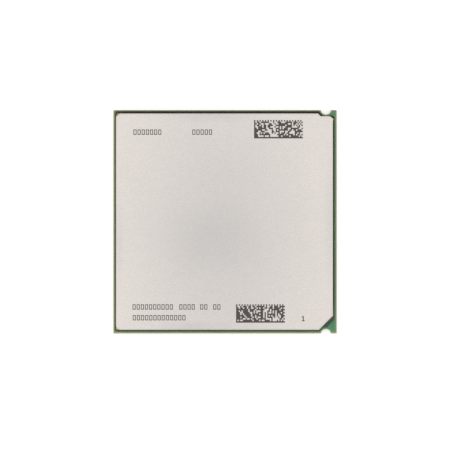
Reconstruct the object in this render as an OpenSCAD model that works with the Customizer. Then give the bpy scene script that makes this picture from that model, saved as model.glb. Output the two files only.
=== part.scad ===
// Land-grid computer processor: a bare chip soldered face down on a green laminate,
// under a nickel-plated copper lid that is bonded on with a black seal.
// Origin at the middle of the underside, +Z towards the lid, pin-one corner at +X -Y.

/* [Substrate] */
// Width of the laminate, along X
substrate_w = 50; // [44:0.5:60]
// Depth of the laminate, along Y
substrate_d = 50; // [44:0.5:60]
// Thickness of the laminate
substrate_t = 1.6; // [1:0.1:2.5]

/* [Key notches] */
// Radius of the half-round notches in the front and back edges
notch_r = 1.15; // [0.8:0.05:1.4]
// From the right edge of the laminate to the middle of the notches
notch_inset = 2.4; // [2.2:0.1:4]
// How far outside the laminate's edge the notches are centred
notch_out = 0.18; // [0:0.01:0.4]

/* [Contact lands] */
// Spacing of the lands, centre to centre
land_pitch = 1.5; // [1.2:0.1:3]
// Side of one square land
land_w = 1; // [0.5:0.05:1.1]
// Thickness of the lands
land_t = 0.05; // [0.03:0.01:0.1]
// From the floor of the notches to the outer lands
land_clear = 0.95; // [0.6:0.05:2]
// Width of the sunken strip between the outer lands and the border of the underside
land_moat = 0.4; // [0.1:0.05:0.5]

/* [Chip] */
// Width of the chip, along X
die_w = 27; // [18:0.5:30]
// Depth of the chip, along Y
die_d = 21; // [14:0.5:24]
// Thickness of the chip
die_t = 0.78; // [0.6:0.02:0.9]
// Height of the solder bumps that the chip stands on
bump_h = 0.08; // [0.05:0.01:0.12]
// Thickness of the thermal interface between chip and lid
interface_t = 0.1; // [0.04:0.01:0.2]
// Width of the underfill's slope on the laminate, round the chip
slope_w = 1.2; // [0.6:0.1:2]
// How far the underfill climbs up the sides of the chip
slope_h = 0.5; // [0.2:0.05:0.55]
// Thickness of the underfill at the top of its slope
slope_top = 0.1; // [0.05:0.01:0.2]

/* [Capacitors] */
// Length of one capacitor
cap_l = 2; // [1.2:0.1:2.4]
// Width of one capacitor
cap_w = 1.25; // [0.6:0.05:1.4]
// Height of one capacitor
cap_h = 0.6; // [0.4:0.05:0.8]
// Length of the metal cap at each end
cap_end_l = 0.4; // [0.2:0.05:0.5]
// How far the end caps stand out from the ceramic
cap_end_out = 0.03; // [0.01:0.01:0.06]
// Spacing along a row, centre to centre
cap_pitch = 3; // [2.5:0.1:3.2]
// Capacitors in each row beside the chip's long sides
cap_long = 8; // [4:1:9]
// Rows beside each long side
cap_rows = 2; // [1:1:2]
// Capacitors in the row beside each short side
cap_short = 5; // [3:1:6]

/* [Lid seal] */
// How far the seal is squeezed out past the lid on its left and right
seal_squeeze_x = 0.4; // [0.3:0.01:0.5]
// How far the seal is squeezed out past the lid at its front and back
seal_squeeze_y = 0.57; // [0.4:0.01:0.6]
// How far the seal is squeezed out past the lid at the cut-off corner
seal_squeeze_cut = 1.04; // [0.5:0.01:1.1]
// How far the seal was pushed to the right as the lid was pressed on
seal_lean_x = 0.06; // [0:0.01:0.1]
// How far the seal was pushed to the back as the lid was pressed on
seal_lean_y = 0.05; // [0:0.01:0.1]
// Radius of the seal's corners, seen from above
seal_corner_r = 0.6; // [0.3:0.05:1.5]
// From the front notch to the seal
seal_front_gap = 0.45; // [0.1:0.05:0.6]
// From the back notch to the edge of the seal that steps in for it
seal_back_gap = 0.23; // [0.05:0.01:0.35]
// From the middle of the back notch to where the seal's edge steps in
seal_step_lead = 1.66; // [1.6:0.01:2]
// Thickness of the seal under the lid's foot
seal_t = 0.15; // [0.08:0.01:0.25]
// How far the seal's inner edge lies back from the lid's cavity
seal_setback = 0.5; // [0.3:0.1:1.5]

/* [Lid] */
// From the left and right edges of the laminate to a centred lid
lid_rim_x = 0.85; // [0.82:0.01:2]
// From the front and back edges of the laminate to a centred lid
lid_rim_y = 0.92; // [0.85:0.01:2]
// Thickness of the lid over the chip
lid_web = 2.6; // [1.5:0.1:4]
// Width of the foot that the lid stands on
lid_foot = 4; // [2:0.1:4.5]
// Radius of the lid's corners, seen from above
lid_corner_r = 0.95; // [0.6:0.05:2]
// Slant of the cut-off corner, from the X axis
cut_slant = 45; // [40:1:50]
// From the front notch to the lid's cut-off corner
lid_front_gap = 0.85; // [0.7:0.01:2]
// From the back notch to the edge of the lid that steps in for it
lid_back_gap = 0.51; // [0.4:0.01:1]
// From the middle of the back notch to where the lid's edge steps in
lid_step_lead = 1.9; // [1.7:0.1:4]
// Radius of the rounded edge round the lid's top
lid_edge_r = 0.35; // [0.1:0.05:0.5]
// Radius of the corners of the lid's cavity
cavity_r = 2; // [1:0.1:4]
// How far off centre the lid was bonded, along X
lid_shift_x = -0.13; // [-0.2:0.01:0.2]
// How far off centre the lid was bonded, along Y
lid_shift_y = 0.03; // [-0.1:0.01:0.1]

/* [Lid stubs] */
// Width of the stubs left at three corners where the lid was cut from its strip
stub_w = 0.45; // [0.2:0.05:0.7]
// Thickness of the stubs
stub_t = 0.8; // [0.3:0.1:1.5]
// How far the two stubs on the left stand out of their corners
stub_out = 0.25; // [0.05:0.01:0.35]
// How far the stub on the right stands out of its corner
side_stub_out = 0.1; // [0.05:0.01:0.35]
// Direction of the stub on the right, from the X axis
side_stub_turn = 18; // [0:1:45]
// From the lid's top down to the stubs
stub_drop = 0.45; // [0.4:0.05:1]

/* [Hidden] */
// Steps in a quarter circle of an outline, and in the lid's rounded edge
arc_steps = 6;
edge_steps = 3;
// Sides of the notches and of the ring cut out of the seal
notch_fn = 48;
// Overlap of a cut with the open air
cut = 0.1;
// Share of a pitch that rounding may take from a row of lands that just fits
land_slack = 0.001;

// Middle of the notches
notch_x = substrate_w / 2 - notch_inset;
notch_y = substrate_d / 2 + notch_out;

// Land field, with as many lands as the space inside the notches takes
land_margin = notch_r - notch_out + land_clear;
land_nx = floor((substrate_w - 2 * land_margin - land_w) / land_pitch + land_slack) + 1;
land_ny = floor((substrate_d - 2 * land_margin - land_w) / land_pitch + land_slack) + 1;
field_w = (land_nx - 1) * land_pitch + land_w + 2 * land_moat;
field_d = (land_ny - 1) * land_pitch + land_w + 2 * land_moat;

// Heights of the stack
die_z = substrate_t + bump_h;
interface_z = die_z + die_t;
ceiling_z = interface_z + interface_t;
lid_z = substrate_t + seal_t;
lid_top = ceiling_z + lid_web;

// Lid and seal have like outlines: the pin-one corner is cut off to clear the front notch, and the
// back edge steps in to clear the back notch
cut_out = [sin(cut_slant), -cos(cut_slant)];
lid_cut = cut_out * [notch_x, -notch_y] - notch_r - lid_front_gap;
lid_place = [lid_shift_x, lid_shift_y];
lid_hw = substrate_w / 2 - lid_rim_x;
lid_hd = substrate_d / 2 - lid_rim_y;
lid_step_y = notch_y - notch_r - lid_back_gap;
lid_outline = outline(lid_hw, lid_hd, lid_corner_r, lid_place, lid_cut, lid_step_y, lid_step_lead);
seal_place = lid_place + [seal_lean_x, seal_lean_y];
seal_step_y = notch_y - notch_r - seal_back_gap;
seal_outline = outline(lid_hw + seal_squeeze_x, lid_hd + seal_squeeze_y, seal_corner_r, seal_place,
    lid_cut + seal_squeeze_cut, seal_step_y, seal_step_lead);

// Middles of the lid's rounded corners, each with the direction and reach of its stub
stub_places = [
    [-lid_hw + lid_corner_r, -lid_hd + lid_corner_r, 225, stub_out],
    [-lid_hw + lid_corner_r, lid_hd - lid_corner_r, 135, stub_out],
    [lid_hw - lid_corner_r, lid_step_y - lid_shift_y - lid_corner_r, side_stub_turn, side_stub_out]];

// Cavity inside the lid's foot
cavity_hw = lid_hw - lid_foot;
cavity_hd = lid_hd - lid_foot;

// Places of the capacitors, each [x, y, turn], midway in the bands between underfill and lid
slope_hw = die_w / 2 + slope_w;
slope_hd = die_d / 2 + slope_w;
cap_band = (cavity_hd - slope_hd) / cap_rows;
cap_places = concat(
    [for (side = [-1, 1], row = [0:cap_rows - 1], i = [0:cap_long - 1])
        [(i - (cap_long - 1) / 2) * cap_pitch, side * (slope_hd + (row + 0.5) * cap_band), 0]],
    [for (side = [-1, 1], i = [0:cap_short - 1])
        [side * (slope_hw + cavity_hw) / 2, (i - (cap_short - 1) / 2) * cap_pitch, 90]]);

// Node name of capacitor i, counted from 01
function cap_name(i) = str("capacitor_", i < 9 ? "0" : "", i + 1);

// Points of a quarter circle round [x, y] from angle a, anticlockwise
function arc(x, y, r, a) =
    [for (i = [0:arc_steps]) [x + r * cos(a + 90 * i / arc_steps), y + r * sin(a + 90 * i / arc_steps)]];

// Rounded rectangle by its half sizes
function rounded(hw, hd, r) = concat(
    arc(-hw + r, -hd + r, r, 180),
    arc(hw - r, -hd + r, r, 270),
    arc(hw - r, hd - r, r, 0),
    arc(-hw + r, hd - r, r, 90));

// Outline by its half sizes and corner radius, drawn about its own middle, which lies at place: its corner
// is cut off cut_reach from the origin, its back edge steps in to step_y from step_lead before the notch on
function outline(hw, hd, r, place, cut_reach, step_y, step_lead) =
    let (reach = cut_reach - cut_out * place,
         drop = hd + place[1] - step_y,
         step = notch_x - step_lead - place[0])
    concat(
        arc(-hw + r, -hd + r, r, 180),
        [[(reach - hd * cos(cut_slant)) / sin(cut_slant), -hd],
            [hw, (hw * sin(cut_slant) - reach) / cos(cut_slant)]],
        arc(hw - r, hd - drop - r, r, 0),
        [[step + drop, hd - drop], [step, hd]],
        arc(-hw + r, hd - r, r, 90));

// Unit normal that points into an anticlockwise outline from the edge p to q
function inward(p, q) = [p[1] - q[1], q[0] - p[0]] / norm(q - p);

// Outline moved inwards by d, with sharp corners kept sharp
function inset(points, d) =
    let (n = len(points))
    [for (i = [0:n - 1])
        let (a = inward(points[(i + n - 1) % n], points[i]), b = inward(points[i], points[(i + 1) % n]))
        points[i] + d * (a + b) / (1 + a * b)];

// Outline lifted to height z
function at_height(points, z) = [for (p = points) [p[0], p[1], z]];

// Solid through rings of equally many points, from the lowest ring to the highest
module loft(rings) {
    n = len(rings[0]);
    last = (len(rings) - 1) * n;
    sides = [for (k = [0:len(rings) - 2], i = [0:n - 1])
        let (j = (i + 1) % n)
        [k * n + i, (k + 1) * n + i, (k + 1) * n + j, k * n + j]];
    bottom = [for (i = [0:n - 1]) i];
    top = [for (i = [0:n - 1]) last + (n - i) % n];
    polyhedron(points = [for (ring = rings) each ring],
        faces = concat([bottom], sides, [top]), convexity = 4);
}

// Block of size w by d by h, centred in plan, standing at height z
module block(w, d, h, z) {
    translate([-w / 2, -d / 2, z]) cube([w, d, h]);
}

// Laminate with a half-round key notch in two opposite edges and a shallow field for the lands
module substrate() {
    color("#4f8a66")
    difference() {
        block(substrate_w, substrate_d, substrate_t, 0);
        for (side = [-1, 1])
            translate([notch_x, side * notch_y, -cut])
                cylinder(r = notch_r, h = substrate_t + 2 * cut, $fn = notch_fn);
        block(field_w, field_d, land_t + cut, -cut);
    }
}

// Square lands of the land grid, level with the border of the underside
module contact_lands() {
    color("#d8b25a")
    for (i = [0:land_nx - 1], j = [0:land_ny - 1])
        translate([(i - (land_nx - 1) / 2) * land_pitch, (j - (land_ny - 1) / 2) * land_pitch, 0])
            block(land_w, land_w, land_t, 0);
}

// Chip, face down on its bumps
module die() {
    color("#5a5e66") block(die_w, die_d, die_t, die_z);
}

// Epoxy that fills the bump gap under the chip and slopes up round its sides
module underfill() {
    color("#2e3138")
    difference() {
        loft([
            at_height(rounded(slope_hw, slope_hd, slope_w), substrate_t),
            at_height(rounded(die_w / 2 + slope_top, die_d / 2 + slope_top, slope_top), die_z + slope_h)]);
        block(die_w, die_d, die_t, die_z);
    }
}

// Conducting layer pressed between the chip and the lid
module thermal_interface() {
    color("#8f9296") block(die_w, die_d, interface_t, interface_z);
}

// Chip capacitor with a metal cap on each end, at place [x, y, turn]
module capacitor(place) {
    translate([place[0], place[1], 0])
    rotate([0, 0, place[2]]) {
        color("#b08a5e")
            block(cap_l - cap_end_l, cap_w - 2 * cap_end_out, cap_h - 2 * cap_end_out,
                substrate_t + cap_end_out);
        for (side = [-1, 1])
            translate([side * (cap_l - cap_end_l) / 2, 0, 0])
                color("#c9c9c6") block(cap_end_l, cap_w, cap_h, substrate_t);
    }
}

// Adhesive band between the lid's foot and the laminate, squeezed out all round but for a clear ring
// round the front notch
module lid_seal() {
    color("#2a2927")
    translate([0, 0, substrate_t])
    linear_extrude(seal_t)
    difference() {
        translate(seal_place) polygon(seal_outline);
        translate([notch_x, -notch_y]) circle(r = notch_r + seal_front_gap, $fn = notch_fn);
        translate(lid_place)
            polygon(rounded(cavity_hw + seal_setback, cavity_hd + seal_setback, cavity_r + seal_setback));
    }
}

// Copper lid: a flat plate with rounded top edges, on a foot round a shallow cavity, with the stubs of
// the ties that held it in its strip
module lid() {
    edge_rings = [for (i = [0:edge_steps])
        let (a = 90 * i / edge_steps)
        at_height(inset(lid_outline, lid_edge_r * (1 - cos(a))), lid_top - lid_edge_r * (1 - sin(a)))];
    color("#d6d1cb")
    translate([lid_shift_x, lid_shift_y, 0])
    union() {
        difference() {
            loft(concat([at_height(lid_outline, lid_z)], edge_rings));
            translate([0, 0, lid_z - cut])
                linear_extrude(ceiling_z - lid_z + cut)
                    polygon(rounded(cavity_hw, cavity_hd, cavity_r));
        }
        for (p = stub_places)
            translate([p[0], p[1], lid_top - stub_drop - stub_t])
                rotate([0, 0, p[2]])
                    translate([0, -stub_w / 2, 0]) cube([lid_corner_r + p[3], stub_w, stub_t]);
    }
}

substrate();
contact_lands();
underfill();
die();
thermal_interface();
lid_seal();
lid();
for (i = [0:len(cap_places) - 1])
    capacitor(cap_places[i]);
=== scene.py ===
"""Looks of a lidded land-grid processor, lying on white paper and seen from straight above."""
import math
import random

import bmesh
import bpy
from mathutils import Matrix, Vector, noise


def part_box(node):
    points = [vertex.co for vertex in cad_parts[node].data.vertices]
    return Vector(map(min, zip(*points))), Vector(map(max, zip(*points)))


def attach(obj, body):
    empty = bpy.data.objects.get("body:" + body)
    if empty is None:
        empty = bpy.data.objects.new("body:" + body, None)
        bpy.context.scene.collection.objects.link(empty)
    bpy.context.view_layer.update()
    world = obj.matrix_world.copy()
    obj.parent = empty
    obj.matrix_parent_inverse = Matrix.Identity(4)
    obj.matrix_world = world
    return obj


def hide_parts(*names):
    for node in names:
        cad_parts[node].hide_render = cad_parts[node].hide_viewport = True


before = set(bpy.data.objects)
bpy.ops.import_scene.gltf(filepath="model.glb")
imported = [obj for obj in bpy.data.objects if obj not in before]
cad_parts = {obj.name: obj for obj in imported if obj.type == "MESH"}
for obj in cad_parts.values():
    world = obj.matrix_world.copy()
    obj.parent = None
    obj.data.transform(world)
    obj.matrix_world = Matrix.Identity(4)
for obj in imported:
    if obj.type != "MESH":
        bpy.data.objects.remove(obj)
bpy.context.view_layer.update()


# Laminate board: glass cloth and epoxy pressed into a core, with thin build-up layers on both faces,
# sawn out of a larger panel. The saw leaves a square olive-tan edge in which the plies show as thin
# lines, and the two half-round key notches are milled through it.
MM = 0.001
WELD = 0.0005 * MM
FLAT_ANGLE = math.radians(1)
SMOOTH_ANGLE = math.radians(35)
CORNER_ANGLE = math.radians(60)
UPWARD = 0.9
RESIST_T = 0.02 * MM
SAW_EDGE = 0.04 * MM
SAW_MARK = 0.12 * MM
SAW_MARK_DEPTH = 0.02 * MM
CUT_TILT = 0.5
BUILD_UP = 0.3 * MM
PLY = 0.13 * MM
YARN_LENGTH = 0.9 * MM
YARN_HEIGHT = 0.07 * MM
COPPER_PATCH = 1.1 * MM
# The length at which a wave texture of scale 1 repeats.
WAVE_REPEAT = math.pi / 10


def linear(hex_colour):
    """Linear red, green, blue and alpha of an sRGB hex colour."""
    parts = [int(hex_colour[i:i + 2], 16) / 255 for i in (1, 3, 5)]
    return [p / 12.92 if p <= 0.04045 else ((p + 0.055) / 1.055) ** 2.4 for p in parts] + [1.0]


def add_node(tree, kind, sockets, **settings):
    """A shader node with its settings, and each socket linked to an output or given a value."""
    node = tree.nodes.new(kind)
    for name, value in settings.items():
        setattr(node, name, value)
    for socket, value in sockets.items():
        if isinstance(value, bpy.types.NodeSocket):
            tree.links.new(value, node.inputs[socket])
        else:
            node.inputs[socket].default_value = value
    return node


def new_material(name):
    """A material, its node tree, its shader's sockets and its Object coordinates."""
    material = bpy.data.materials.new(name)
    material.use_nodes = True
    tree = material.node_tree
    place = add_node(tree, "ShaderNodeTexCoord", {}).outputs["Object"]
    return material, tree, tree.nodes["Principled BSDF"].inputs, place


def cad_copy(node):
    """A CAD node's own shape, with its loose triangles joined into whole faces."""
    shape = bmesh.new()
    shape.from_mesh(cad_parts[node].data)
    bmesh.ops.remove_doubles(shape, verts=shape.verts, dist=WELD)
    bmesh.ops.dissolve_limit(shape, angle_limit=FLAT_ANGLE, verts=shape.verts, edges=shape.edges)
    return shape


def sharp_outer_edges(shape):
    """The edges where two faces of a shape meet at an outside corner."""
    return [e for e in shape.edges if e.is_manifold and e.calc_face_angle_signed(0) > CORNER_ANGLE]


def make_piece(name, shape, material):
    """An object of the finished shape, smooth but for its sharp edges, carried by the part's body."""
    for face in shape.faces:
        face.smooth = True
    for edge in shape.edges:
        edge.smooth = edge.calc_face_angle(math.pi) < SMOOTH_ANGLE
    data = bpy.data.meshes.new(name)
    shape.to_mesh(data)
    shape.free()
    if "custom_normal" in data.attributes:
        data.attributes.remove(data.attributes["custom_normal"])
    data.materials.append(material)
    piece = bpy.data.objects.new(name, data)
    bpy.context.scene.collection.objects.link(piece)
    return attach(piece, "root")


board_low, board_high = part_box("substrate")
board = cad_copy("substrate")
for vert in board.verts:
    if vert.co.z > board_high.z - WELD:
        vert.co.z -= RESIST_T
bmesh.ops.bevel(board, geom=sharp_outer_edges(board), offset=SAW_EDGE, segments=2, profile=0.5,
                affect="EDGES", material=-1)

# Glass-epoxy laminate: olive-tan resin, pale and streaked in the core where the saw cut its glass yarns,
# darker in the build-up layers, and green underneath, where the same resist as on top covers it.
laminate, tree, shader, place = new_material("glass_epoxy_laminate")
yarn_place = add_node(tree, "ShaderNodeMapping",
                      {"Vector": place, "Scale": (1 / YARN_LENGTH, 1 / YARN_LENGTH, 1 / YARN_HEIGHT)})
yarns = add_node(tree, "ShaderNodeTexNoise", {"Vector": yarn_place.outputs[0], "Scale": 1.0,
                                              "Detail": 3.0})
saw_place = add_node(tree, "ShaderNodeMapping", {"Vector": place,
                                                 "Scale": (1 / SAW_MARK, 1 / SAW_MARK, 0)})
saw_marks = add_node(tree, "ShaderNodeTexNoise", {"Vector": saw_place.outputs[0], "Scale": 1.0,
                                                  "Detail": 1.0})
plies = add_node(tree, "ShaderNodeTexWave", {"Vector": place, "Scale": WAVE_REPEAT / PLY},
                 bands_direction="Z", wave_profile="SIN")
core_colour = add_node(tree, "ShaderNodeMix", {0: yarns.outputs["Fac"], 6: linear("#A39A66"),
                                               7: linear("#CFC79A")}, data_type="RGBA")
layer_colour = add_node(tree, "ShaderNodeMix", {0: yarns.outputs["Fac"], 6: linear("#95976B"),
                                                7: linear("#B8BB8F")}, data_type="RGBA")
height = add_node(tree, "ShaderNodeSeparateXYZ", {0: place})
from_middle = add_node(tree, "ShaderNodeMath", {0: height.outputs["Z"], 1: board_high.z / 2},
                       operation="SUBTRACT")
from_middle = add_node(tree, "ShaderNodeMath", {0: from_middle.outputs[0]}, operation="ABSOLUTE")
in_layers = add_node(tree, "ShaderNodeMath", {0: from_middle.outputs[0], 1: board_high.z / 2 - BUILD_UP},
                     operation="GREATER_THAN")
cut_colour = add_node(tree, "ShaderNodeMix", {0: in_layers.outputs[0], 6: core_colour.outputs[2],
                                              7: layer_colour.outputs[2]}, data_type="RGBA")
ply_share = add_node(tree, "ShaderNodeMapRange", {"Value": plies.outputs["Fac"], "From Max": 0.3,
                                                  "To Min": 0.6, "To Max": 0.0})
facing = add_node(tree, "ShaderNodeNewGeometry", {})
turn = add_node(tree, "ShaderNodeSeparateXYZ", {0: facing.outputs["True Normal"]})
upright = add_node(tree, "ShaderNodeMath", {0: turn.outputs["Z"], 1: 0.0, 2: CUT_TILT},
                   operation="COMPARE")
ply_line = add_node(tree, "ShaderNodeMath", {0: ply_share.outputs[0], 1: upright.outputs[0]},
                    operation="MULTIPLY")
edge_colour = add_node(tree, "ShaderNodeMix", {0: ply_line.outputs[0], 6: cut_colour.outputs[2],
                                               7: linear("#5F5736")}, data_type="RGBA")
planes = add_node(tree, "ShaderNodeTexNoise", {"Vector": place, "Scale": 1 / COPPER_PATCH,
                                               "Detail": 2.0})
under_colour = add_node(tree, "ShaderNodeMix", {0: planes.outputs["Fac"], 6: linear("#317F58"),
                                                7: linear("#439D6E")}, data_type="RGBA")
underside = add_node(tree, "ShaderNodeMath", {0: turn.outputs["Z"], 1: -UPWARD}, operation="LESS_THAN")
board_colour = add_node(tree, "ShaderNodeMix", {0: underside.outputs[0], 6: edge_colour.outputs[2],
                                                7: under_colour.outputs[2]}, data_type="RGBA")
tree.links.new(board_colour.outputs[2], shader["Base Color"])
saw_bump = add_node(tree, "ShaderNodeBump", {"Height": saw_marks.outputs["Fac"], "Strength": 0.5,
                                             "Distance": SAW_MARK_DEPTH})
tree.links.new(saw_bump.outputs[0], shader["Normal"])
shader["Roughness"].default_value = 0.62
shader["IOR"].default_value = 1.54

laminate_board = make_piece("laminate_board", board, laminate)
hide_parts("substrate")


# Solder resist: a green lacquer printed on the board's top and pulled back from the saw cut all
# round, most along the front edge and least along the back one, so that a tan strip of bare laminate
# shows outside it.
RESIST_BACK = 0.22 * MM
RESIST_BACK_FRONT = 0.36 * MM
RESIST_BACK_REAR = 0.05 * MM
RESIST_PEEL = 0.25 * MM
RESIST_PEEL_DEPTH = 0.01 * MM
# Each side of the board, and how far in from it the lacquer starts to thin and is thinnest.
THIN_EDGES = [((1, 0, 0), 0.85 * MM, 0.15 * MM), ((0, 1, 0), 0.95 * MM, 0.3 * MM),
              ((-1, 0, 0), 0.85 * MM, 0.4 * MM), ((0, -1, 0), 0.55 * MM, 0.1 * MM)]

resist = cad_copy("substrate")
below_top = [f for f in resist.faces if f.calc_center_median().z < board_high.z - WELD]
bmesh.ops.delete(resist, geom=below_top, context="FACES")
rim = bmesh.ops.inset_region(resist, faces=resist.faces[:], thickness=RESIST_BACK, use_even_offset=True,
                             use_boundary=True)
bmesh.ops.delete(resist, geom=rim["faces"], context="FACES")
for vert in resist.verts:
    if vert.co.y < board_low.y + RESIST_BACK + WELD:
        vert.co.y = board_low.y + RESIST_BACK_FRONT
    if vert.co.y > board_high.y - RESIST_BACK - WELD:
        vert.co.y = board_high.y - RESIST_BACK_REAR
resist_sides = bmesh.ops.extrude_face_region(resist, geom=resist.faces[:], use_keep_orig=True)
bmesh.ops.translate(resist, vec=(0, 0, -RESIST_T),
                    verts=[v for v in resist_sides["geom"] if isinstance(v, bmesh.types.BMVert)])
bmesh.ops.recalc_face_normals(resist, faces=resist.faces)

# Solder resist lacquer: clear green, half gloss, a little lighter over the copper planes below it, and
# olive along its edge, least at the front, where it runs out thin and the tan laminate shows through.
green_resist, tree, shader, place = new_material("green_solder_resist")
patches = add_node(tree, "ShaderNodeTexNoise", {"Vector": place, "Scale": 1 / COPPER_PATCH,
                                                "Detail": 2.0})
peel = add_node(tree, "ShaderNodeTexNoise", {"Vector": place, "Scale": 1 / RESIST_PEEL, "Detail": 1.0})
resist_colour = add_node(tree, "ShaderNodeMix", {0: patches.outputs["Fac"], 6: linear("#378B60"),
                                                 7: linear("#439D6E")}, data_type="RGBA")
thin = 0.0
for direction, start_in, full_in in THIN_EDGES:
    out = Vector(direction)
    edge = max(out.dot(board_low), out.dot(board_high))
    outward = add_node(tree, "ShaderNodeVectorMath", {0: place, 1: out}, operation="DOT_PRODUCT")
    thinning = add_node(tree, "ShaderNodeMapRange", {
        "Value": outward.outputs["Value"], "From Min": edge - start_in, "From Max": edge - full_in})
    thin = add_node(tree, "ShaderNodeMath", {0: thinning.outputs[0], 1: thin},
                    operation="MAXIMUM").outputs[0]
lacquer = add_node(tree, "ShaderNodeMix", {0: thin, 6: resist_colour.outputs[2], 7: linear("#70845E")},
                   data_type="RGBA")
tree.links.new(lacquer.outputs[2], shader["Base Color"])
peel_bump = add_node(tree, "ShaderNodeBump", {"Height": peel.outputs["Fac"], "Strength": 0.15,
                                              "Distance": RESIST_PEEL_DEPTH})
tree.links.new(peel_bump.outputs[0], shader["Normal"])
shader["Roughness"].default_value = 0.38
shader["IOR"].default_value = 1.52

resist_top = make_piece("resist_top", resist, green_resist)


# Contact lands: square copper pads under the board, etched with round corners and plated with
# nickel and gold. The socket's springs press on them, so they lie level with the board's border.
LAND_CORNER = 0.12 * MM
LAND_EDGE = 0.012 * MM
PLATE_GRAIN = 0.08 * MM
TONE_PATCH = 6 * MM

lands = cad_copy("contact_lands")
bmesh.ops.bevel(lands, geom=[e for e in lands.edges if abs(e.verts[0].co.z - e.verts[1].co.z) > WELD],
                offset=LAND_CORNER, segments=2, profile=0.5, affect="EDGES", material=-1)
bmesh.ops.bevel(lands, geom=[e for e in sharp_outer_edges(lands) if max(v.co.z for v in e.verts) < WELD],
                offset=LAND_EDGE, segments=1, profile=0.5, affect="EDGES", material=-1)

# Immersion gold over nickel: warm yellow, finely matt, a touch uneven in tone from pad to pad. The
# plating's grain is drawn coarser than it is.
gold, tree, shader, place = new_material("immersion_gold")
tone = add_node(tree, "ShaderNodeTexNoise", {"Vector": place, "Scale": 1 / TONE_PATCH, "Detail": 2.0})
plate = add_node(tree, "ShaderNodeTexNoise", {"Vector": place, "Scale": 1 / PLATE_GRAIN, "Detail": 1.0})
gold_colour = add_node(tree, "ShaderNodeMix", {0: tone.outputs["Fac"], 6: linear("#D9AE55"),
                                               7: linear("#EBCB7E")}, data_type="RGBA")
tree.links.new(gold_colour.outputs[2], shader["Base Color"])
gold_gloss = add_node(tree, "ShaderNodeMapRange", {"Value": plate.outputs["Fac"], "To Min": 0.26,
                                                   "To Max": 0.42})
tree.links.new(gold_gloss.outputs[0], shader["Roughness"])
shader["Metallic"].default_value = 1.0

gold_lands = make_piece("gold_lands", lands, gold)
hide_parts("contact_lands")


# Chip, underfill and thermal layer: a diced slice of silicon on solder bumps, the epoxy drawn in
# under it, and the conducting layer pressed between chip and lid. All are shut in under the lid.
GRIND_LINE = 0.05 * MM
FILLER = 0.04 * MM
SPREAD_MARK = 1.5 * MM


def dress(node, material):
    """Gives a CAD node that keeps its own shape its finish."""
    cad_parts[node].data.materials.clear()
    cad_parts[node].data.materials.append(material)


# Ground silicon: dark blue grey, near mirror bright, with fine straight grinding lines that are drawn
# coarser than they are.
silicon, tree, shader, place = new_material("ground_silicon")
grinding = add_node(tree, "ShaderNodeTexWave", {"Vector": place, "Scale": WAVE_REPEAT / GRIND_LINE,
                                                "Distortion": 1.5})
silicon_gloss = add_node(tree, "ShaderNodeMapRange", {"Value": grinding.outputs["Fac"], "To Min": 0.16,
                                                      "To Max": 0.3})
tree.links.new(silicon_gloss.outputs[0], shader["Roughness"])
shader["Base Color"].default_value = linear("#5A5E66")
shader["Metallic"].default_value = 0.8
dress("die", silicon)

# Filled epoxy: blue black and satin, speckled by its silica filler, which is drawn coarser than it is.
epoxy, tree, shader, place = new_material("filled_epoxy")
filler = add_node(tree, "ShaderNodeTexNoise", {"Vector": place, "Scale": 1 / FILLER, "Detail": 2.0})
epoxy_colour = add_node(tree, "ShaderNodeMix", {0: filler.outputs["Fac"], 6: linear("#24272D"),
                                                7: linear("#3A3E46")}, data_type="RGBA")
tree.links.new(epoxy_colour.outputs[2], shader["Base Color"])
shader["Roughness"].default_value = 0.45
dress("underfill", epoxy)

# Thermal compound: grey and dull, with the feathery marks of having been pressed out.
compound, tree, shader, place = new_material("thermal_compound")
spread = add_node(tree, "ShaderNodeTexNoise", {"Vector": place, "Scale": 1 / SPREAD_MARK, "Detail": 5.0,
                                               "Distortion": 2.0})
compound_colour = add_node(tree, "ShaderNodeMix", {0: spread.outputs["Fac"], 6: linear("#7F8286"),
                                                   7: linear("#A0A3A6")}, data_type="RGBA")
tree.links.new(compound_colour.outputs[2], shader["Base Color"])
shader["Roughness"].default_value = 0.55
dress("thermal_interface", compound)


# Chip capacitors: fired ceramic blocks with a tinned cap on each end, soldered round the chip in evenly
# spaced rows. Those beside its long sides lie along X, and those beside its short sides along Y.
CERAMIC_GRAIN = 0.1 * MM
TIN_CAP = 0.4 * MM
PLACE_DIGITS = 6


# Tinned ceramic: brown and dull, its grain drawn coarser than it is, with a bright metal cap at each end.
def tinned_ceramic(name, axis, nodes):
    """Gives the capacitors that lie in evenly spaced rows along an axis their finish."""
    at = "XYZ".index(axis)
    boxes = [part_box(node) for node in nodes]
    lows = sorted({round(low[at], PLACE_DIGITS) for low, high in boxes})
    length = boxes[0][1][at] - boxes[0][0][at]
    pitch = lows[1] - lows[0]
    material, tree, shader, place = new_material(name)
    along = add_node(tree, "ShaderNodeSeparateXYZ", {0: place})
    from_first = add_node(tree, "ShaderNodeMath", {0: along.outputs[axis], 1: lows[0] + length / 2},
                          operation="SUBTRACT")
    from_middle = add_node(tree, "ShaderNodeMath", {0: from_first.outputs[0], 1: pitch / 2},
                           operation="PINGPONG")
    tin = add_node(tree, "ShaderNodeMath", {0: from_middle.outputs[0], 1: length / 2 - TIN_CAP},
                   operation="GREATER_THAN")
    grain = add_node(tree, "ShaderNodeTexNoise", {"Vector": place, "Scale": 1 / CERAMIC_GRAIN,
                                                  "Detail": 2.0})
    ceramic = add_node(tree, "ShaderNodeMix", {0: grain.outputs["Fac"], 6: linear("#9C774E"),
                                               7: linear("#BC9669")}, data_type="RGBA")
    colour = add_node(tree, "ShaderNodeMix", {0: tin.outputs[0], 6: ceramic.outputs[2],
                                              7: linear("#C9C9C6")}, data_type="RGBA")
    tree.links.new(colour.outputs[2], shader["Base Color"])
    tree.links.new(tin.outputs[0], shader["Metallic"])
    shader["Roughness"].default_value = 0.42
    for node in nodes:
        dress(node, material)


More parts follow.
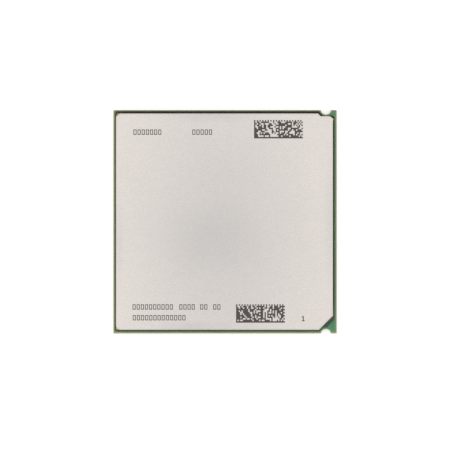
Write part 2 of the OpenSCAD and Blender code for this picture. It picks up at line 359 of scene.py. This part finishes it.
capacitors = {"X": [], "Y": []}
for node in sorted(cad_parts):
    if node.startswith("capacitor_"):
        low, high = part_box(node)
        capacitors["X" if high.x - low.x > high.y - low.y else "Y"].append(node)
tinned_ceramic("tinned_ceramic_along_x", "X", capacitors["X"])
tinned_ceramic("tinned_ceramic_along_y", "Y", capacitors["Y"])


# Lid seal: black silicone adhesive laid as a bead round the board, squeezed flat when the lid was
# pressed on. What came out past the lid's foot stands as a soft, slightly wavy lip.
LIP_BAND = 0.4 * MM
LIP_ROUND = 0.11 * MM
LIP_WAVE = 0.03 * MM
LIP_WAVE_LENGTH = 2.2 * MM
LIP_CUTS = 70
LIP_LONG_EDGE = 4 * MM
LIP_IN = 3 * MM
LIP_GRAIN = 0.12 * MM
LIP_GRAIN_DEPTH = 0.02 * MM
# Painted shade on the seal's edge: the way that each dark green film lies from the middle, its width, and
# its colour at the lip's edge.
PAINTED_SHADE_FILMS = [((-1, 0, 0), 2.6 * MM, "#3E4A16"), ((0, -1, 0), 7.5 * MM, "#43523E"),
         ((1, -1, 0), 2.5 * MM, "#56574A"), ((1, -1, 0), 0.45 * MM, "#326246")]

seal_low, seal_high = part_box("lid_seal")
inner_half = min(-seal_low.x, -seal_low.y) - LIP_IN


def outside(vert):
    """Whether a vertex lies on the seal's outer side."""
    return max(abs(vert.co.x), abs(vert.co.y)) > inner_half


seal = cad_copy("lid_seal")
bmesh.ops.inset_region(seal, faces=[f for f in seal.faces if f.normal.z > UPWARD], thickness=LIP_BAND,
                       use_even_offset=True, use_boundary=True)
bmesh.ops.subdivide_edges(seal, edges=[e for e in seal.edges if e.calc_length() > LIP_LONG_EDGE
                                       and all(outside(v) for v in e.verts)], cuts=LIP_CUTS)
for vert in seal.verts:
    if outside(vert):
        wave = noise.noise(Vector((vert.co.x, vert.co.y, 0)) / LIP_WAVE_LENGTH)
        vert.co.xy *= 1 + LIP_WAVE * wave / vert.co.xy.length
bmesh.ops.bevel(seal, geom=[e for e in sharp_outer_edges(seal) if all(outside(v) for v in e.verts)
                            and min(v.co.z for v in e.verts) > seal_high.z - WELD],
                offset=LIP_ROUND, segments=4, profile=0.5, affect="EDGES", material=-1)

# Silicone adhesive: brown black and dull, its grain drawn coarser than it is. Towards its edge at the left,
# at the front and along the cut-off corner it turns dark green, which is painted shade: the colour of the
# green lacquer beside it lying in the lid's shadow.
silicone, tree, shader, place = new_material("black_silicone")
lip_grain = add_node(tree, "ShaderNodeTexNoise", {"Vector": place, "Scale": 1 / LIP_GRAIN,
                                                  "Detail": 2.0})
seal_colour = add_node(tree, "ShaderNodeMix", {0: lip_grain.outputs["Fac"], 6: linear("#1A1506"),
                                               7: linear("#2D2711")}, data_type="RGBA").outputs[2]
# Painted shade: the lip's edge takes the dark green of lacquer lying in the lid's shadow.
for direction, width, shade_film_colour in PAINTED_SHADE_FILMS:
    out = Vector(direction).normalized()
    reach = max(out.dot(v.co) for v in seal.verts)
    outward = add_node(tree, "ShaderNodeVectorMath", {0: place, 1: out}, operation="DOT_PRODUCT")
    shade_film = add_node(tree, "ShaderNodeMapRange", {"Value": outward.outputs["Value"],
                                                 "From Min": reach - width, "From Max": reach})
    seal_colour = add_node(tree, "ShaderNodeMix", {0: shade_film.outputs[0], 6: seal_colour,
                                                   7: linear(shade_film_colour)}, data_type="RGBA").outputs[2]
tree.links.new(seal_colour, shader["Base Color"])
lip_bump = add_node(tree, "ShaderNodeBump", {"Height": lip_grain.outputs["Fac"], "Strength": 0.4,
                                             "Distance": LIP_GRAIN_DEPTH})
tree.links.new(lip_bump.outputs[0], shader["Normal"])
shader["Roughness"].default_value = 0.58
shader["IOR"].default_value = 1.42

seal_lip = make_piece("seal_lip", seal, silicone)
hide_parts("lid_seal")


# Lid: a copper plate coined with a raised foot all round, blanked with one corner cut off, its
# top edge rounded, then blasted and nickel plated. It spreads the chip's heat to the cooler. Its
# face lies lower than the lid's full height by the depth of the laser marks that stand on it.
EDGE_ROUND = 0.35 * MM
EDGE_SEGMENTS = 6
SHOULDER_GAP = 0.02 * MM
TOP_SUPPORT = 0.04 * MM
MARK_T = 0.006 * MM

lid_low, lid_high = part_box("lid")
lid = cad_copy("lid")
face_z = lid_high.z - MARK_T
shoulder_z = lid_high.z - EDGE_ROUND - SHOULDER_GAP
bmesh.ops.bisect_plane(lid, geom=lid.verts[:] + lid.edges[:] + lid.faces[:], dist=WELD,
                       plane_co=(0, 0, shoulder_z), plane_no=(0, 0, 1), clear_outer=True)
shoulder = [e for e in lid.edges if e.is_boundary]
raised = bmesh.ops.extrude_edge_only(lid, edges=shoulder)["geom"]
bmesh.ops.translate(lid, vec=(0, 0, face_z - shoulder_z),
                    verts=[v for v in raised if isinstance(v, bmesh.types.BMVert)])
brim = [e for e in raised if isinstance(e, bmesh.types.BMEdge)]
bmesh.ops.edgeloop_fill(lid, edges=brim)
bmesh.ops.recalc_face_normals(lid, faces=lid.faces)
bmesh.ops.bevel(lid, geom=brim, offset=EDGE_ROUND, segments=EDGE_SEGMENTS, profile=0.5,
                affect="EDGES", material=-1)
bmesh.ops.inset_region(lid, faces=[f for f in lid.faces if f.calc_center_median().z > face_z - WELD],
                       thickness=TOP_SUPPORT, use_even_offset=True)

# Satin nickel on copper: pale warm grey from the blasting, which is drawn coarser than it is. It is a
# little darker and cooler over the middle, a painted reflection of the dark camera overhead, and darker
# along the middle of each side. Its sides are darker than its top, which is painted shade, and streaked
# upright where they were blanked. Round the three stubs where the lid was snapped out of its strip the
# colour turns to a pale copper, brightest near their root and darker at their end.
BLAST_GRAIN = 0.3 * MM
BLAST_DEPTH = 0.01 * MM
CLOUD = 7 * MM
BLOTCH = 1.6 * MM
STREAK = 0.12 * MM
STREAK_LENGTH = 3 * MM
SIDE_PATCH_IN = 0.7 * MM
SIDE_PATCH_W = 1.9 * MM
# The middle, half widths and strength of each dark patch: first the two over the middle, a painted
# reflection of the camera overhead, then those along the sides.
DARK_PATCHES = [((-1 * MM, -4 * MM), (29 * MM, 50 * MM), 0.7),
                ((-3.3 * MM, -3.4 * MM), (16 * MM, 11.5 * MM), 0.3),
                ((lid_low.x + SIDE_PATCH_IN, -4 * MM), (SIDE_PATCH_W, 14 * MM), 0.27),
                ((lid_high.x - SIDE_PATCH_IN, -1 * MM), (SIDE_PATCH_W, 21 * MM), 0.28),
                ((-7.5 * MM, lid_low.y + SIDE_PATCH_IN), (10.5 * MM, SIDE_PATCH_W), 0.38),
                ((-3.5 * MM, lid_high.y - SIDE_PATCH_IN), (15 * MM, SIDE_PATCH_W), 0.35)]
STUB_END = 0.05 * MM
COPPER_ROOT_REACH = 0.75 * MM
COPPER_END_REACH = 0.32 * MM
COPPER_CORE = 0.75
COPPER_RAGGED = 0.6 * MM
COPPER_SQUASH = (1, 1, 0.5)
# The way that each stub lies from the middle, and its copper at the root and at the end.
STUBS = [((-1, 1, 0), "#C8AF9A", "#54452F"), ((-1, -1, 0), "#DCCBA3", "#7D7450"),
         ((3, 1, 0), "#F5E2D4", "#E6D0BE")]

nickel, tree, shader, place = new_material("satin_nickel_plate")
blast = add_node(tree, "ShaderNodeTexNoise", {"Vector": place, "Scale": 1 / BLAST_GRAIN, "Detail": 1.0})
clouds = add_node(tree, "ShaderNodeTexNoise", {"Vector": place, "Scale": 1 / CLOUD, "Detail": 3.0})
blotches = add_node(tree, "ShaderNodeTexNoise", {"Vector": place, "Scale": 1 / BLOTCH, "Detail": 2.0})
darkening = add_node(tree, "ShaderNodeMapRange", {"Value": clouds.outputs["Fac"], "To Min": -0.1,
                                                 "To Max": 0.1}, clamp=False)
# Painted reflection: the first two patches darken the middle of the plate as the dark camera overhead
# would. The others darken the middle of each side.
for (x, y), (reach_x, reach_y), share in DARK_PATCHES:
    from_dark_patch = add_node(tree, "ShaderNodeMapping", {
        "Vector": place, "Location": (-x / reach_x, -y / reach_y, 0),
        "Scale": (1 / reach_x, 1 / reach_y, 0)})
    darkened = add_node(tree, "ShaderNodeTexGradient", {"Vector": from_dark_patch.outputs[0]},
                      gradient_type="SPHERICAL")
    darkened = add_node(tree, "ShaderNodeMapRange", {"Value": darkened.outputs["Fac"]},
                      interpolation_type="SMOOTHSTEP")
    darkening = add_node(tree, "ShaderNodeMath", {0: darkened.outputs[0], 1: share, 2: darkening.outputs[0]},
                        operation="MULTIPLY_ADD")
top_colour = add_node(tree, "ShaderNodeMix", {0: darkening.outputs[0], 6: linear("#E6DFDA"),
                                              7: linear("#CFCBC8")}, data_type="RGBA")
streak_place = add_node(tree, "ShaderNodeMapping",
                        {"Vector": place, "Scale": (1 / STREAK, 1 / STREAK, 1 / STREAK_LENGTH)})
streaks = add_node(tree, "ShaderNodeTexNoise", {"Vector": streak_place.outputs[0], "Scale": 1.0,
                                                "Detail": 2.0})
# Painted shade: the upright sides take a darker colour than the top, streaked upright from the blanking.
shaded_side_colour = add_node(tree, "ShaderNodeMix", {0: streaks.outputs["Fac"], 6: linear("#A39C96"),
                                               7: linear("#D8D1CA")}, data_type="RGBA")
facing = add_node(tree, "ShaderNodeNewGeometry", {})
turn = add_node(tree, "ShaderNodeSeparateXYZ", {0: facing.outputs["True Normal"]})
side = add_node(tree, "ShaderNodeMapRange", {"Value": turn.outputs["Z"], "From Min": 0.1,
                                             "From Max": 0.5, "To Min": 1.0, "To Max": 0.0})
plate_colour = add_node(tree, "ShaderNodeMix", {0: side.outputs[0], 6: top_colour.outputs[2],
                                                7: shaded_side_colour.outputs[2]}, data_type="RGBA")
grain_light = add_node(tree, "ShaderNodeMapRange", {"Value": blast.outputs["Fac"], "From Min": 0.25,
                                                    "From Max": 0.75, "To Min": 0.935, "To Max": 1.065})
blotch_light = add_node(tree, "ShaderNodeMapRange", {"Value": blotches.outputs["Fac"], "From Min": 0.3,
                                                     "From Max": 0.7, "To Min": 0.98, "To Max": 1.0})
light = add_node(tree, "ShaderNodeMath", {0: grain_light.outputs[0], 1: blotch_light.outputs[0]},
                 operation="MULTIPLY")
lid_colour = add_node(tree, "ShaderNodeVectorMath", {
    0: plate_colour.outputs[2], "Scale": light.outputs[0]}, operation="SCALE").outputs[0]
side_places = [v.co for v in lid.verts if v.co.z < shoulder_z - WELD]
# Pale copper-coloured patches round the three stubs, brightest near their root and darker at their end.
for direction, root_copper, end_copper in STUBS:
    out = Vector(direction).normalized()
    reach = max(out.dot(co) for co in side_places)
    corners = [co for co in side_places if out.dot(co) > reach - STUB_END]
    tip = sum(corners, Vector()) / len(corners)
    away = add_node(tree, "ShaderNodeVectorMath", {0: place, 1: tip}, operation="SUBTRACT")
    away = add_node(tree, "ShaderNodeVectorMath", {0: away.outputs[0], 1: COPPER_SQUASH},
                    operation="MULTIPLY")
    away = add_node(tree, "ShaderNodeVectorMath", {0: away.outputs[0]}, operation="LENGTH")
    ragged = add_node(tree, "ShaderNodeMath", {0: blast.outputs["Fac"], 1: COPPER_RAGGED,
                                               2: away.outputs["Value"]}, operation="MULTIPLY_ADD")
    for copper_reach, copper in ((COPPER_ROOT_REACH, root_copper), (COPPER_END_REACH, end_copper)):
        copper_share = add_node(tree, "ShaderNodeMapRange", {
            "Value": ragged.outputs[0], "From Min": COPPER_CORE * copper_reach + COPPER_RAGGED / 2,
            "From Max": copper_reach + COPPER_RAGGED / 2, "To Min": 1.0, "To Max": 0.0})
        lid_colour = add_node(tree, "ShaderNodeMix", {0: copper_share.outputs[0], 6: lid_colour, 7: linear(copper)},
                              data_type="RGBA").outputs[2]
tree.links.new(lid_colour, shader["Base Color"])
lid_gloss = add_node(tree, "ShaderNodeMapRange", {"Value": blast.outputs["Fac"], "To Min": 0.26,
                                                  "To Max": 0.4})
tree.links.new(lid_gloss.outputs[0], shader["Roughness"])
blast_bump = add_node(tree, "ShaderNodeBump", {"Height": blast.outputs["Fac"], "Strength": 0.1,
                                               "Distance": BLAST_DEPTH})
tree.links.new(blast_bump.outputs[0], shader["Normal"])
shader["Metallic"].default_value = 1.0

plated_lid = make_piece("plated_lid", lid, nickel)
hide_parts("lid")


# Laser marks: the lid's plating burnt dark by a laser. Two fields of square cells and rows of hollow
# boxes hold no message, and a 1 stands by the cut-off corner, where the first contact is.
CELLS = (36, 12)
CELL_SEED = 5
CELL_SHARE = 0.62
CODE_W = 10.85 * MM
CODE_D = 4.1 * MM
CODE_PLACES = [(11.88 * MM, 20.6 * MM), (7.88 * MM, -20.4 * MM)]
BOX_PITCH = 0.92 * MM
BOX_W = 0.68 * MM
BOX_D = 1.4 * MM
BOX_STROKE = 0.16 * MM
# The left end, the middle line and the number of boxes of each row.
BOX_ROWS = [(-20.5 * MM, 19.95 * MM, 7), (-7.4 * MM, 19.95 * MM, 5),
            (-20.7 * MM, -18.95 * MM, 10), (-10.3 * MM, -18.95 * MM, 4),
            (-5.65 * MM, -18.95 * MM, 2), (-2.75 * MM, -18.95 * MM, 2),
            (-20.65 * MM, -21.35 * MM, 13)]
ONE_PLACE = (17.4 * MM, -21.5 * MM)
ONE_CELL = 0.2 * MM
ONE_COLUMNS = 3
ONE_ROWS = 6
ONE_STEM = 1
ONE_FLAG = (0, 4)


def thicken(shape):
    """Raises a flat shape by the depth of a mark, standing on the lid's face."""
    sides = bmesh.ops.extrude_face_region(shape, geom=shape.faces[:], use_keep_orig=True)["geom"]
    bmesh.ops.translate(shape, vec=(0, 0, MARK_T),
                        verts=[v for v in sides if isinstance(v, bmesh.types.BMVert)])
    bmesh.ops.translate(shape, vec=(0, 0, face_z), verts=shape.verts)
    bmesh.ops.recalc_face_normals(shape, faces=shape.faces)


def add_grid(shape, columns, rows, width, depth, middle):
    """Adds a flat grid of cells to a shape and returns each face with its column and row."""
    made = bmesh.ops.create_grid(shape, x_segments=columns, y_segments=rows, size=0.5)["verts"]
    bmesh.ops.scale(shape, vec=(width, depth, 1), verts=made)
    bmesh.ops.translate(shape, vec=(middle[0], middle[1], 0), verts=made)
    faces = {f for v in made for f in v.link_faces}
    found = []
    for face in faces:
        centre = face.calc_center_median()
        column = int((centre.x - middle[0] + width / 2) / width * columns)
        row = int((centre.y - middle[1] + depth / 2) / depth * rows)
        found.append((face, column, row))
    return sorted(found, key=lambda item: item[1:])


codes = bmesh.new()
cell_choice = random.Random(CELL_SEED)
half_columns = CELLS[0] // 2
for middle in CODE_PLACES:
    light_cells = []
    for face, column, row in add_grid(codes, CELLS[0], CELLS[1], CODE_W, CODE_D, middle):
        filled = cell_choice.random() < CELL_SHARE
        inner = column % half_columns
        if inner == 0 or row == 0:
            filled = True
        elif inner == half_columns - 1:
            filled = row % 2 == 0
        elif row == CELLS[1] - 1:
            filled = inner % 2 == 0
        if not filled:
            light_cells.append(face)
    bmesh.ops.delete(codes, geom=light_cells, context="FACES")
thicken(codes)

lines = bmesh.new()
for left, middle_y, count in BOX_ROWS:
    width = count * BOX_PITCH
    middle = (left + width / 2, middle_y)
    boxes = [face for face, column, row in add_grid(lines, count, 1, width, BOX_D, middle)]
    gaps = bmesh.ops.inset_individual(lines, faces=boxes, thickness=(BOX_PITCH - BOX_W) / 2,
                                      use_even_offset=True)["faces"]
    bmesh.ops.delete(lines, geom=gaps, context="FACES")
    bmesh.ops.inset_individual(lines, faces=boxes, thickness=BOX_STROKE, use_even_offset=True)
    bmesh.ops.delete(lines, geom=boxes, context="FACES")
one = add_grid(lines, ONE_COLUMNS, ONE_ROWS, ONE_COLUMNS * ONE_CELL, ONE_ROWS * ONE_CELL, ONE_PLACE)
beside = [face for face, column, row in one
          if column != ONE_STEM and row != 0 and (column, row) != ONE_FLAG]
bmesh.ops.delete(lines, geom=beside, context="FACES")
thicken(lines)

# Laser-burnt nickel: dark brown-grey oxide, dull, uneven from pulse to pulse.
PULSE = 0.15 * MM


def burnt_nickel(name, dark, pale):
    """Oxide left by a laser, between a dark and a pale tone."""
    material, tree, shader, place = new_material(name)
    pulses = add_node(tree, "ShaderNodeTexNoise", {"Vector": place, "Scale": 1 / PULSE, "Detail": 2.0})
    colour = add_node(tree, "ShaderNodeMix", {0: pulses.outputs["Fac"], 6: linear(dark), 7: linear(pale)},
                      data_type="RGBA")
    tree.links.new(colour.outputs[2], shader["Base Color"])
    shader["Roughness"].default_value = 0.55
    return material


code_marks = make_piece("code_marks", codes, burnt_nickel("burnt_nickel_cells", "#3C3633", "#5A534E"))
line_marks = make_piece("line_marks", lines, burnt_nickel("burnt_nickel_lines", "#2F2B28", "#48423E"))


# Studio: white paper below, a white dome of light above that is weaker towards the horizon, with one soft
# box in it, and a camera straight above, at the height at which the lid covers as much of the board as
# in the photograph.
PAPER_HALF = 1500 * MM
PAPER_LIFT = 0.4
PAPER_LIFT_MIRRORED = 0.2
PAPER_MOTTLE = 2.5 * MM
WHITE = linear("#FFFFFF")
DOME_TOP = 0.965
DOME_TOP_HEIGHT = 0.9
DOME_RIM = 0.65
SOFT_BOX_DIRECTION = Vector((-0.55, -0.35, 0.76)).normalized()
SOFT_BOX_RIM = math.cos(math.radians(38))
SOFT_BOX_MIDDLE = math.cos(math.radians(14))
SOFT_BOX_GAIN = 0.15
CAMERA_HEIGHT = 560 * MM
SENSOR = 36.0
IMAGE_PX = 450
BOARD_PX = 223.3
BOARD_MIDDLE_PX = (225.05, 221.82)

paper_sheet = bmesh.new()
bmesh.ops.create_grid(paper_sheet, x_segments=1, y_segments=1, size=PAPER_HALF)
paper, tree, shader, place = new_material("white_paper")
tree.nodes.remove(tree.nodes["Principled BSDF"])
mottle = add_node(tree, "ShaderNodeTexNoise", {"Vector": place, "Scale": 1 / PAPER_MOTTLE})
paper_colour = add_node(tree, "ShaderNodeMix", {0: mottle.outputs["Fac"], 6: linear("#F0F0F0"),
                                                7: linear("#F4F4F4")}, data_type="RGBA")
matt = add_node(tree, "ShaderNodeBsdfDiffuse", {"Color": paper_colour.outputs[2]})
path = add_node(tree, "ShaderNodeLightPath", {})
mirrored = add_node(tree, "ShaderNodeMath", {0: path.outputs["Is Glossy Ray"],
                                             1: path.outputs["Is Transmission Ray"]})
lift = add_node(tree, "ShaderNodeMath", {0: mirrored.outputs[0], 1: PAPER_LIFT_MIRRORED},
                operation="MULTIPLY")
lift = add_node(tree, "ShaderNodeMath", {0: path.outputs["Is Camera Ray"], 1: PAPER_LIFT,
                                         2: lift.outputs[0]}, operation="MULTIPLY_ADD")
glow = add_node(tree, "ShaderNodeEmission", {"Strength": lift.outputs[0]})
both = add_node(tree, "ShaderNodeAddShader", {0: matt.outputs[0], 1: glow.outputs[0]})
tree.links.new(both.outputs[0], tree.nodes["Material Output"].inputs["Surface"])
paper_data = bpy.data.meshes.new("paper")
paper_sheet.to_mesh(paper_data)
paper_sheet.free()
paper_data.materials.append(paper)
floor = bpy.data.objects.new("paper", paper_data)
bpy.context.scene.collection.objects.link(floor)

world = bpy.data.worlds.new("studio")
world.use_nodes = True
bpy.context.scene.world = world
tree = world.node_tree
tree.nodes.remove(tree.nodes["Background"])
direction = add_node(tree, "ShaderNodeTexCoord", {})
height = add_node(tree, "ShaderNodeSeparateXYZ", {0: direction.outputs["Generated"]})
dome = add_node(tree, "ShaderNodeMapRange", {"Value": height.outputs["Z"], "From Max": DOME_TOP_HEIGHT,
                                             "To Min": DOME_RIM, "To Max": DOME_TOP})
towards = add_node(tree, "ShaderNodeVectorMath", {0: direction.outputs["Generated"],
                                                  1: SOFT_BOX_DIRECTION}, operation="DOT_PRODUCT")
soft_box = add_node(tree, "ShaderNodeMapRange", {
    "Value": towards.outputs["Value"], "From Min": SOFT_BOX_RIM, "From Max": SOFT_BOX_MIDDLE,
    "To Max": SOFT_BOX_GAIN}, interpolation_type="SMOOTHSTEP")
light = add_node(tree, "ShaderNodeMath", {0: dome.outputs[0], 1: soft_box.outputs[0]})
lamp = add_node(tree, "ShaderNodeBackground", {"Color": WHITE, "Strength": light.outputs[0]})
backdrop = add_node(tree, "ShaderNodeBackground", {"Color": WHITE, "Strength": 1.0})
path = add_node(tree, "ShaderNodeLightPath", {})
sky = add_node(tree, "ShaderNodeMixShader", {0: path.outputs["Is Camera Ray"], 1: lamp.outputs[0],
                                             2: backdrop.outputs[0]})
tree.links.new(sky.outputs[0], tree.nodes["World Output"].inputs["Surface"])

lens_data = bpy.data.cameras.new("camera")
camera = bpy.data.objects.new("camera", lens_data)
bpy.context.scene.collection.objects.link(camera)
bpy.context.scene.camera = camera
pixel = (board_high.x - board_low.x) / BOARD_PX
lens_data.sensor_width = SENSOR
lens_data.lens = SENSOR * CAMERA_HEIGHT / (IMAGE_PX * pixel)
camera.location = ((IMAGE_PX / 2 - BOARD_MIDDLE_PX[0]) * pixel,
                   (BOARD_MIDDLE_PX[1] - IMAGE_PX / 2) * pixel, board_high.z + CAMERA_HEIGHT)
bpy.context.scene.view_settings.view_transform = "Standard"
